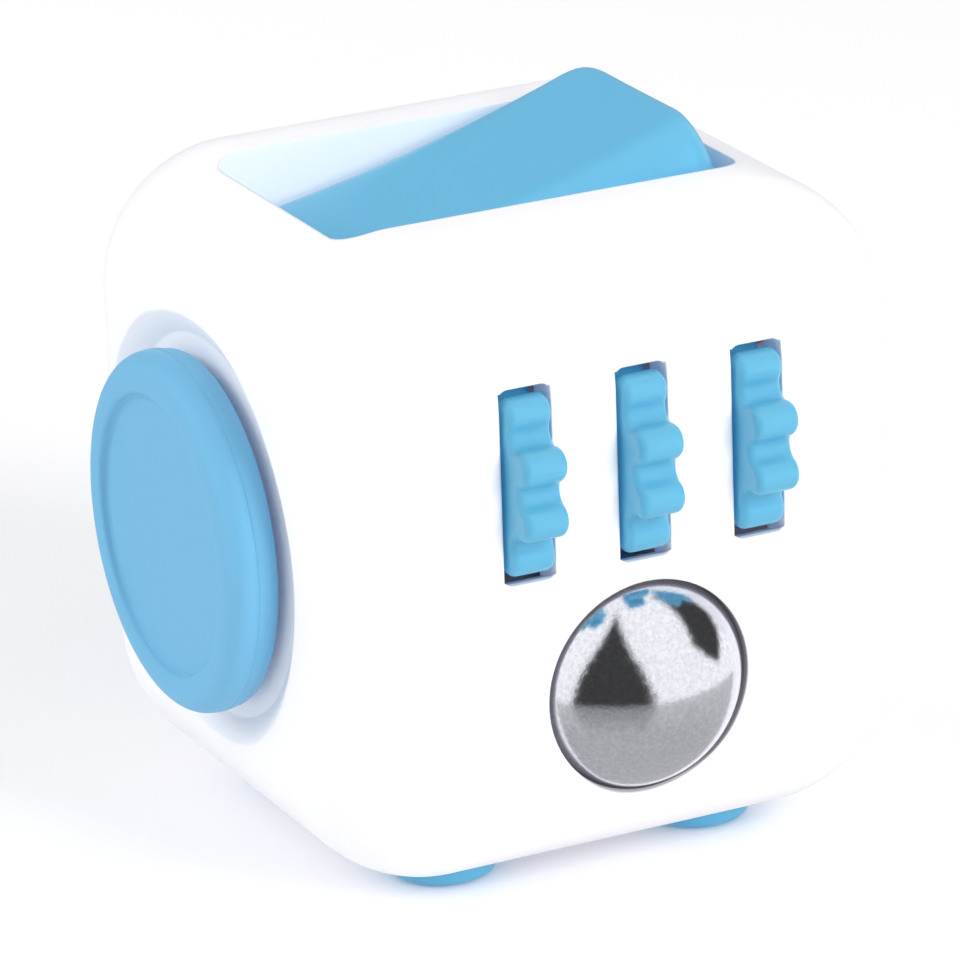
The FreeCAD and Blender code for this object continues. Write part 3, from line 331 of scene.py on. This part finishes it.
def build_dial():
    """Dial: soft-edged disc with a dimple for a fingertip, and its hub behind."""
    low, high = corners("spin_dial")
    radius = (high.x - low.x) / 2
    top = high.y - HALF
    under = -0.6 * MM
    hub, hub_end = 2.9 * MM, -2.8 * MM
    edge, soft = 1.0 * MM, 0.3 * MM
    dimple_at = Vector((0, 5.2 * MM))
    dimple_radius = 3.9 * MM
    dimple_depth = 1.2 * MM

    def dimpled(point):
        """Press the face in round the dimple's middle."""
        if point.z < top - edge / 2:
            return point
        away = (point.xy - dimple_at).length / dimple_radius
        if away < 1:
            point.z -= dimple_depth * (1 - away ** 2) ** 1.35
        return point

    profile = [(0, hub_end), (hub, hub_end), (hub, under), (radius * 0.6, under)]
    profile += arc((radius - soft, under + soft), soft, -90, 0, 4)
    profile += arc((radius - edge, top - edge), edge, 0, 90, 10)
    steps = 70
    profile += [((radius - edge) * (1 - step / steps), top) for step in range(1, steps + 1)]
    piece = lathe("dial_disc", profile, CENTRE + Vector((0, HALF, 0)), (0, 1, 0), 200, dimpled, 60)
    return settle(piece, "dial_body", "blue_plastic", "spin_dial")


# ---------------------------------------------------------------- buttons

def build_button(node):
    """Push button: soft-edged foot, straight stem and the flange that holds it in."""
    low, high = corners(node)
    flange = (high.x - low.x) / 2
    radius = 2.8 * MM
    shoulder = 3.05 * MM
    soft = 0.45 * MM
    profile = [(0, 0), (radius * 0.35, 0)]
    profile += arc((radius - soft, soft), soft, -90, 0, 10)
    profile += [(radius, shoulder), (flange, shoulder), (flange, high.z), (0, high.z)]
    centre = Vector(((low.x + high.x) / 2, (low.y + high.y) / 2, low.z))
    piece = lathe(node + "_cap", profile, centre, (0, 0, 1), 96)
    return settle(piece, node + "_body", "blue_plastic", node)


# ---------------------------------------------------------------- steel ball

def build_ball():
    """Ball of even quads, which has no poles to catch the light."""
    low, high = corners("steel_ball")
    centre = Vector(JOINTS["ball_roll"]["pos_m"])
    radius = (high.y - low.y) / 2
    mesh = bmesh.new()
    bmesh.ops.create_cube(mesh, size=2)
    bmesh.ops.subdivide_edges(mesh, edges=mesh.edges, cuts=47, use_grid_fill=True)
    for vertex in mesh.verts:
        vertex.co = centre + vertex.co.normalized() * radius
    piece = finish_mesh(mesh, "ball_surface", 80)
    return settle(piece, "ball_body", "ball_steel", "steel_ball")


# ---------------------------------------------------------------- node helpers

def math_node(tree, operation, *operands, clamp=False):
    """Add a Math node; an operand is a number or another node's output."""
    node = tree.nodes.new("ShaderNodeMath")
    node.operation = operation
    node.use_clamp = clamp
    for socket, operand in zip(node.inputs, operands):
        if isinstance(operand, (int, float)):
            socket.default_value = operand
        else:
            tree.links.new(operand, socket)
    return node.outputs["Value"]


def noise(tree, scale, detail, roughness=0.55, stretch=(1, 1, 1)):
    """Noise in the object's own metres, scale in cycles per metre."""
    coordinates = tree.nodes.new("ShaderNodeTexCoord")
    mapping = tree.nodes.new("ShaderNodeMapping")
    mapping.inputs["Scale"].default_value = stretch
    node = tree.nodes.new("ShaderNodeTexNoise")
    node.inputs["Scale"].default_value = scale
    node.inputs["Detail"].default_value = detail
    node.inputs["Roughness"].default_value = roughness
    tree.links.new(coordinates.outputs["Object"], mapping.inputs["Vector"])
    tree.links.new(mapping.outputs["Vector"], node.inputs["Vector"])
    return node.outputs["Fac"]


def remap(tree, source, low, high, source_low=0.3, source_high=0.7):
    """Spread a range of a value over low..high."""
    node = tree.nodes.new("ShaderNodeMapRange")
    node.inputs["From Min"].default_value = source_low
    node.inputs["From Max"].default_value = source_high
    node.inputs["To Min"].default_value = low
    node.inputs["To Max"].default_value = high
    tree.links.new(source, node.inputs["Value"])
    return node.outputs["Result"]


def blend_colours(tree, factor, first, second):
    """From the first colour at 0 to the second at 1; either is a colour or a node's output."""
    node = tree.nodes.new("ShaderNodeMixRGB")
    for name, colour in (("Color1", first), ("Color2", second)):
        if isinstance(colour, bpy.types.NodeSocket):
            tree.links.new(colour, node.inputs[name])
        else:
            node.inputs[name].default_value = (*colour, 1)
    tree.links.new(factor, node.inputs["Fac"])
    return node.outputs["Color"]


def bump(tree, height, strength, distance, normal=None):
    """Bump from a height, on top of another normal if one is given."""
    node = tree.nodes.new("ShaderNodeBump")
    node.inputs["Strength"].default_value = strength
    node.inputs["Distance"].default_value = distance
    tree.links.new(height, node.inputs["Height"])
    if normal:
        tree.links.new(normal, node.inputs["Normal"])
    return node.outputs["Normal"]


def new_material(name):
    """A material with its node tree and its Principled shader."""
    material = bpy.data.materials.new(name)
    material.use_nodes = True
    return material, material.node_tree, material.node_tree.nodes["Principled BSDF"]


# ---------------------------------------------------------------- materials

# Noise scales in cycles per metre, and the depths that the bumps stand for.
DRIFT_SCALE = 90
GRAIN_SCALE = 5200
SPECK_SCALE = 1500
STREAK_SCALE = 3400
GRAIN_DEPTH = 0.02 * MM
STREAK_DEPTH = 0.03 * MM


def moulded_plastic(name, colour, roughness, grain, subsurface=0.0, soft_edge=0.0, streaks=0.0, painted_glow=None):
    """Moulded plastic: a faint colour drift, patchy gloss, fine grain and stray specks.

    streaks adds the fine flow lines that run across a moulded wheel. The last argument is a
    painted glow: faint light that the surface gives off by itself, which lifts the shade in its hollows.
    """
    material, tree, shader = new_material(name)
    broad = noise(tree, DRIFT_SCALE, 3)
    deep = [part * 0.965 for part in colour]
    light = [min(part * 1.02, 1) for part in colour]
    tree.links.new(blend_colours(tree, broad, deep, light), shader.inputs["Base Color"])
    gloss = remap(tree, broad, roughness - 0.03, roughness + 0.04)
    tree.links.new(gloss, shader.inputs["Roughness"])
    normal = None
    if soft_edge:
        bevel = tree.nodes.new("ShaderNodeBevel")
        bevel.samples = 6
        bevel.inputs["Radius"].default_value = soft_edge
        normal = bevel.outputs["Normal"]
    normal = bump(tree, noise(tree, GRAIN_SCALE, 2), grain, GRAIN_DEPTH, normal)
    specks = remap(tree, noise(tree, SPECK_SCALE, 1), 0, 1, 0.74, 0.80)
    normal = bump(tree, specks, 0.5, GRAIN_DEPTH, normal)
    if streaks:
        lines = noise(tree, STREAK_SCALE, 3, 0.6, (0.12, 1, 1))
        normal = bump(tree, lines, streaks, STREAK_DEPTH, normal)
    tree.links.new(normal, shader.inputs["Normal"])
    shader.inputs["Subsurface Weight"].default_value = subsurface
    shader.inputs["Subsurface Radius"].default_value = (0.6, 0.8, 1.0)
    shader.inputs["Subsurface Scale"].default_value = 0.6 * MM
    # Painted glow: faint emission that lifts the shade in the hollows.
    if painted_glow:
        shader.inputs["Emission Color"].default_value = (*painted_glow, 1)
        shader.inputs["Emission Strength"].default_value = 1
    return material


def paint_ball_hole_shade(material):
    """Painted shade: a dark grey ring on the wall of the ball's hole, up to the hole's rim, with a dimmer
    painted glow there.
    """
    tree = material.node_tree
    shader = tree.nodes["Principled BSDF"]
    ball = JOINTS["ball_roll"]["pos_m"]
    coordinates = tree.nodes.new("ShaderNodeTexCoord")
    away = tree.nodes.new("ShaderNodeVectorMath")
    away.operation = "DISTANCE"
    away.inputs[1].default_value = ball
    tree.links.new(coordinates.outputs["Object"], away.inputs[0])
    rim = math.hypot(BALL_HOLE, HALF + ball[1])
    # clean is 0 on the painted shade ring and 1 beyond it.
    clean = remap(tree, away.outputs["Value"], 0, 1, rim - 0.09 * MM, rim + 0.02 * MM)
    plain_colour = shader.inputs["Base Color"].links[0].from_socket
    shaded_colour = blend_colours(tree, clean, HOLE_SHADE_GREY, plain_colour)
    tree.links.new(shaded_colour, shader.inputs["Base Color"])
    shaded_glow = blend_colours(tree, clean, HOLE_SHADE_GLOW, WHITE_PAINTED_GLOW)
    tree.links.new(shaded_glow, shader.inputs["Emission Color"])


def metal(name, colour, roughness, speckle, grain_scale=2600, brushed=0.0):
    """Steel: fine speckle in tone and surface, and drawn lines where it is brushed."""
    material, tree, shader = new_material(name)
    shader.inputs["Metallic"].default_value = 1
    fine = noise(tree, grain_scale, 5, 0.7)
    broad = noise(tree, 160, 4)
    shade = blend_colours(tree, remap(tree, fine, 0, 1), [part * 0.74 for part in colour], colour)
    tree.links.new(shade, shader.inputs["Base Color"])
    tree.links.new(remap(tree, broad, roughness * 0.8, roughness * 1.25), shader.inputs["Roughness"])
    tree.links.new(bump(tree, fine, speckle, 0.01 * MM), shader.inputs["Normal"])
    shader.inputs["Anisotropic"].default_value = brushed
    return material


SHELL_WHITE = (0.93, 0.935, 0.945)
BLUE = (0.118, 0.425, 0.620)
# Painted shade: a darker, slightly greener copy of BLUE for the front-lit wheels.
WHEEL_SHADED_BLUE = (0.112, 0.402, 0.570)
# Painted sheen: a lighter, greyer copy of the blue that stands in for the light the thumb disc's face
# reflects.
DISC_SHEEN_BLUE = (0.160, 0.475, 0.735)
# Painted shade: dark grey for the ring in the wall of the ball's hole.
HOLE_SHADE_GREY = (0.36, 0.35, 0.375)
# Painted glows: faint emission colours that lift the shade in the hollows of the blue and the white plastic.
BLUE_PAINTED_GLOW = (0.000, 0.040, 0.095)
WHITE_PAINTED_GLOW = (0.055, 0.050, 0.075)
# Dimmer painted glow on that painted shade ring.
HOLE_SHADE_GLOW = (0.045, 0.044, 0.050)
BALL_HOLE = 5.5 * MM
MATERIALS = {
    "shell_white": moulded_plastic("white_abs", SHELL_WHITE, roughness=0.38, grain=0.10, subsurface=0.10,
                                   soft_edge=0.2 * MM, painted_glow=WHITE_PAINTED_GLOW),
    "blue_plastic": moulded_plastic("blue_abs", BLUE, roughness=0.34, grain=0.10, subsurface=0.15,
                                    painted_glow=BLUE_PAINTED_GLOW),
    # Painted shade: the wheels take the darker copy of the blue.
    "blue_wheel": moulded_plastic("blue_abs_wheel_painted_shade", WHEEL_SHADED_BLUE, roughness=0.34, grain=0.10, subsurface=0.20,
                                  streaks=0.8, painted_glow=BLUE_PAINTED_GLOW),
    # Painted sheen: the thumb disc takes the lighter, greyer copy of the blue; its rougher gloss is its own
    # finish.
    "blue_soft": moulded_plastic("blue_soft_painted_sheen", DISC_SHEEN_BLUE, roughness=0.42, grain=0.14, subsurface=0.15),
    "ball_steel": metal("polished_steel", (0.77, 0.78, 0.84), roughness=0.09, speckle=0.55,
                        grain_scale=4200),
    "pin_steel": metal("ground_steel", (0.62, 0.62, 0.64), roughness=0.22, speckle=0.3),
    "spring_steel": metal("strip_steel", (0.55, 0.56, 0.58), roughness=0.28, speckle=0.2, brushed=0.4),
    "screw_steel": metal("zinc_plate", (0.58, 0.59, 0.62), roughness=0.32, speckle=0.3),
    "frame_nylon": moulded_plastic("natural_nylon", (0.62, 0.61, 0.57), roughness=0.5, grain=0.2,
                                   subsurface=0.2),
    "cup_acetal": moulded_plastic("natural_acetal", (0.80, 0.79, 0.75), roughness=0.4, grain=0.12,
                                  subsurface=0.2),
    "silicone": moulded_plastic("grey_silicone", (0.55, 0.58, 0.60), roughness=0.55, grain=0.3,
                                subsurface=0.4),
    "board_laminate": moulded_plastic("green_laminate", (0.03, 0.16, 0.07), roughness=0.42, grain=0.3),
}
# Paint the shade ring into the wall of the ball's hole.
paint_ball_hole_shade(MATERIALS["shell_white"])


def paint(piece, material):
    """Give a piece one material."""
    piece.data.materials.clear()
    piece.data.materials.append(MATERIALS[material])


# ---------------------------------------------------------------- pieces

for entry in record["subparts"]:
    paint(frame["nodes"][entry["node"]], entry["material_slot"])

for wheel in ("gear_left", "gear_middle", "gear_right"):
    paint(build_wheel(wheel), "blue_wheel")
paint(build_rocker(), "blue_plastic")
paint(build_rocker_keel(), "blue_plastic")
paint(build_glide_disc(), "blue_soft")
paint(build_dial(), "blue_plastic")
for number in range(1, 6):
    paint(build_button("button_%d" % number), "blue_plastic")
paint(build_ball(), "ball_steel")


# ---------------------------------------------------------------- studio

FLOOR_HALF = 3.0
FLOOR_GAP = 0.1 * MM
FLOOR_GLOW = 0.11


def build_floor():
    """Pale floor that runs past the edges of the picture."""
    mesh = bmesh.new()
    bmesh.ops.create_grid(mesh, x_segments=2, y_segments=2, size=FLOOR_HALF)
    data = bpy.data.meshes.new("studio_floor")
    mesh.to_mesh(data)
    mesh.free()
    floor = bpy.data.objects.new("studio_floor", data)
    bpy.context.scene.collection.objects.link(floor)
    floor.location.z = -FLOOR_GAP
    floor.visible_glossy = False
    material, _, shader = new_material("pale_sweep")
    shader.inputs["Base Color"].default_value = (0.92, 0.92, 0.94, 1)
    shader.inputs["Roughness"].default_value = 0.6
    shader.inputs["Emission Color"].default_value = (1.0, 0.97, 0.92, 1)
    shader.inputs["Emission Strength"].default_value = FLOOR_GLOW
    data.materials.append(material)


def softbox(name, azimuth, elevation, distance, width, height, brightness):
    """Rectangular soft light aimed at the cube. Azimuth 0 is straight in front.

    brightness is the light that a white face turned to it sends back.
    """
    light = bpy.data.lights.new(name, "AREA")
    light.shape = "RECTANGLE"
    light.size = width
    light.size_y = height
    light.energy = brightness * (math.pi * distance) ** 2
    lamp = bpy.data.objects.new(name, light)
    back = direction_to(azimuth, elevation)
    lamp.location = CENTRE + back * distance
    lamp.rotation_euler = back.to_track_quat("Z", "Y").to_euler()
    lamp.visible_glossy = False
    bpy.context.scene.collection.objects.link(lamp)


# Heights here are sines of the angle above the horizon. The table that the tent stands on ends
# at TABLE_EDGE. A mirror sees it as dark as TABLE_DARK, brighter by up to TABLE_SHINE where it
# reflects the walls, and as an even TABLE_UNDERFOOT from TABLE_NEAR down.
TABLE_EDGE = -0.283
TABLE_NEAR = -0.736
TABLE_DARK = 0.24
TABLE_SHINE = 0.34
TABLE_UNDERFOOT = 0.46
GAP_TONE = 0.05
GAP_TAPER = 0.75
BACK_WALL_TONE = 0.3
TENT_BRIGHTNESS = 1.25
ROOM_BRIGHTNESS = 0.62


def toward(tree, east, north, azimuth):
    """How far a direction points toward an azimuth."""
    turn = math.radians(azimuth)
    northward = math_node(tree, "MULTIPLY", north, -math.cos(turn))
    return math_node(tree, "MULTIPLY_ADD", east, math.sin(turn), northward)


def mix_values(tree, factor, first, second):
    """From the first value at 0 to the second at 1."""
    rise = math_node(tree, "SUBTRACT", second, first)
    return math_node(tree, "MULTIPLY_ADD", rise, factor, first)


def tent_gap(tree, direction, azimuth, slope, apex, low=None):
    """1 in a dark upright gap between the tent's white walls, narrowing to a point overhead.

    direction = sockets (east, north, height, ragged), where ragged scales the width. The gap is
    widest where the walls meet the table, and the table mirrors it; low is a height where the gap
    may start instead.
    """
    east, north, height, ragged = direction
    forward = toward(tree, east, north, azimuth)
    across = toward(tree, east, north, azimuth + 90)
    above_table = math_node(tree, "ABSOLUTE", math_node(tree, "SUBTRACT", height, TABLE_EDGE))
    room_above = math_node(tree, "SUBTRACT", apex - TABLE_EDGE, above_table)
    taper = math_node(tree, "POWER", math_node(tree, "MAXIMUM", room_above, 0), GAP_TAPER)
    width = math_node(tree, "MULTIPLY", math_node(tree, "MULTIPLY", forward, slope), taper)
    if low is not None:
        width = math_node(tree, "MULTIPLY", width, remap(tree, height, 0, 1, low, low + 0.45))
    frayed = math_node(tree, "MULTIPLY", width, ragged)
    inside = math_node(tree, "SUBTRACT", frayed, math_node(tree, "ABSOLUTE", across))
    return remap(tree, inside, 0, 1, 0.005, 0.03)


def tent_tone(tree, generated):
    """Brightness of the tent in every direction, as a mirror sees it."""
    split = tree.nodes.new("ShaderNodeSeparateXYZ")
    tree.links.new(generated, split.inputs["Vector"])
    east, north, height = split.outputs
    creases = tree.nodes.new("ShaderNodeTexNoise")
    creases.inputs["Scale"].default_value = 20
    creases.inputs["Detail"].default_value = 5
    creases.inputs["Roughness"].default_value = 0.65
    tree.links.new(generated, creases.inputs["Vector"])
    ragged = math_node(tree, "MULTIPLY_ADD", creases.outputs["Fac"], 1.1, 0.45)
    direction = (east, north, height, ragged)

    front_gap = tent_gap(tree, direction, -35, 0.70, 1.03)
    side_gap = tent_gap(tree, direction, 78, 0.66, 0.95, low=-0.1)
    dark = math_node(tree, "MAXIMUM", front_gap, side_gap)
    lit = remap(tree, north, 1, BACK_WALL_TONE, 0.3, 0.633)
    walls = math_node(tree, "MULTIPLY", remap(tree, dark, 1, GAP_TONE, 0, 1), lit)
    table_edge = math_node(tree, "MULTIPLY_ADD", walls, TABLE_SHINE, TABLE_DARK)
    depth = remap(tree, height, 0, 1, TABLE_EDGE, TABLE_NEAR)
    table = mix_values(tree, depth, table_edge, TABLE_UNDERFOOT)
    below = remap(tree, height, 0, 1, TABLE_EDGE, TABLE_EDGE - 0.017)
    return mix_values(tree, below, walls, table)


def build_world():
    """Even pale room for the eye and the diffuse light; a white tent with gaps for reflections."""
    world = bpy.data.worlds.new("studio")
    bpy.context.scene.world = world
    world.use_nodes = True
    tree = world.node_tree
    tree.nodes.clear()
    out = tree.nodes.new("ShaderNodeOutputWorld")
    coordinates = tree.nodes.new("ShaderNodeTexCoord")
    rays = tree.nodes.new("ShaderNodeLightPath")
    room = tree.nodes.new("ShaderNodeBackground")
    room.inputs["Color"].default_value = (1, 1, 1, 1)
    eye = math_node(tree, "MULTIPLY_ADD", rays.outputs["Is Camera Ray"], 1 - ROOM_BRIGHTNESS, ROOM_BRIGHTNESS)
    tree.links.new(eye, room.inputs["Strength"])
    mirror = tree.nodes.new("ShaderNodeBackground")
    mirror.inputs["Strength"].default_value = TENT_BRIGHTNESS
    tree.links.new(tent_tone(tree, coordinates.outputs["Generated"]), mirror.inputs["Color"])
    mix = tree.nodes.new("ShaderNodeMixShader")
    tree.links.new(rays.outputs["Is Glossy Ray"], mix.inputs["Fac"])
    tree.links.new(room.outputs["Background"], mix.inputs[1])
    tree.links.new(mirror.outputs["Background"], mix.inputs[2])
    tree.links.new(mix.outputs["Shader"], out.inputs["Surface"])


CAMERA_AZIMUTH = -25.8
CAMERA_ELEVATION = 20.0
CAMERA_ROLL = math.radians(-2.0)
CAMERA_DISTANCE = 0.3446
CAMERA_LENS = 254.7
CAMERA_LEFT = 0.76 * MM
CAMERA_DOWN = 0.58 * MM


def build_camera():
    """Long lens, a little to the left of the front and above."""
    back = direction_to(CAMERA_AZIMUTH, CAMERA_ELEVATION)
    right = direction_to(CAMERA_AZIMUTH + 90, 0)
    up = back.cross(right)
    across = right * math.cos(CAMERA_ROLL) + up * math.sin(CAMERA_ROLL)
    upward = up * math.cos(CAMERA_ROLL) - right * math.sin(CAMERA_ROLL)
    camera_data = bpy.data.cameras.new("camera")
    camera_data.sensor_width = 36
    camera_data.lens = CAMERA_LENS
    camera_data.clip_start = 0.01
    camera = bpy.data.objects.new("camera", camera_data)
    place = CENTRE + back * CAMERA_DISTANCE - right * CAMERA_LEFT - up * CAMERA_DOWN
    turn = Matrix((across, upward, back)).transposed().to_4x4()
    camera.matrix_world = Matrix.Translation(place) @ turn
    bpy.context.scene.collection.objects.link(camera)
    bpy.context.scene.camera = camera


build_floor()
build_world()
softbox("left_box", -130, 25, 0.5, 0.30, 0.30, 0.44)
softbox("front_box", 18, 28, 0.55, 0.22, 0.22, 0.56)
softbox("top_box", -10, 80, 0.5, 0.45, 0.45, 0.06)
build_camera()
bpy.context.scene.view_settings.view_transform = "Standard"
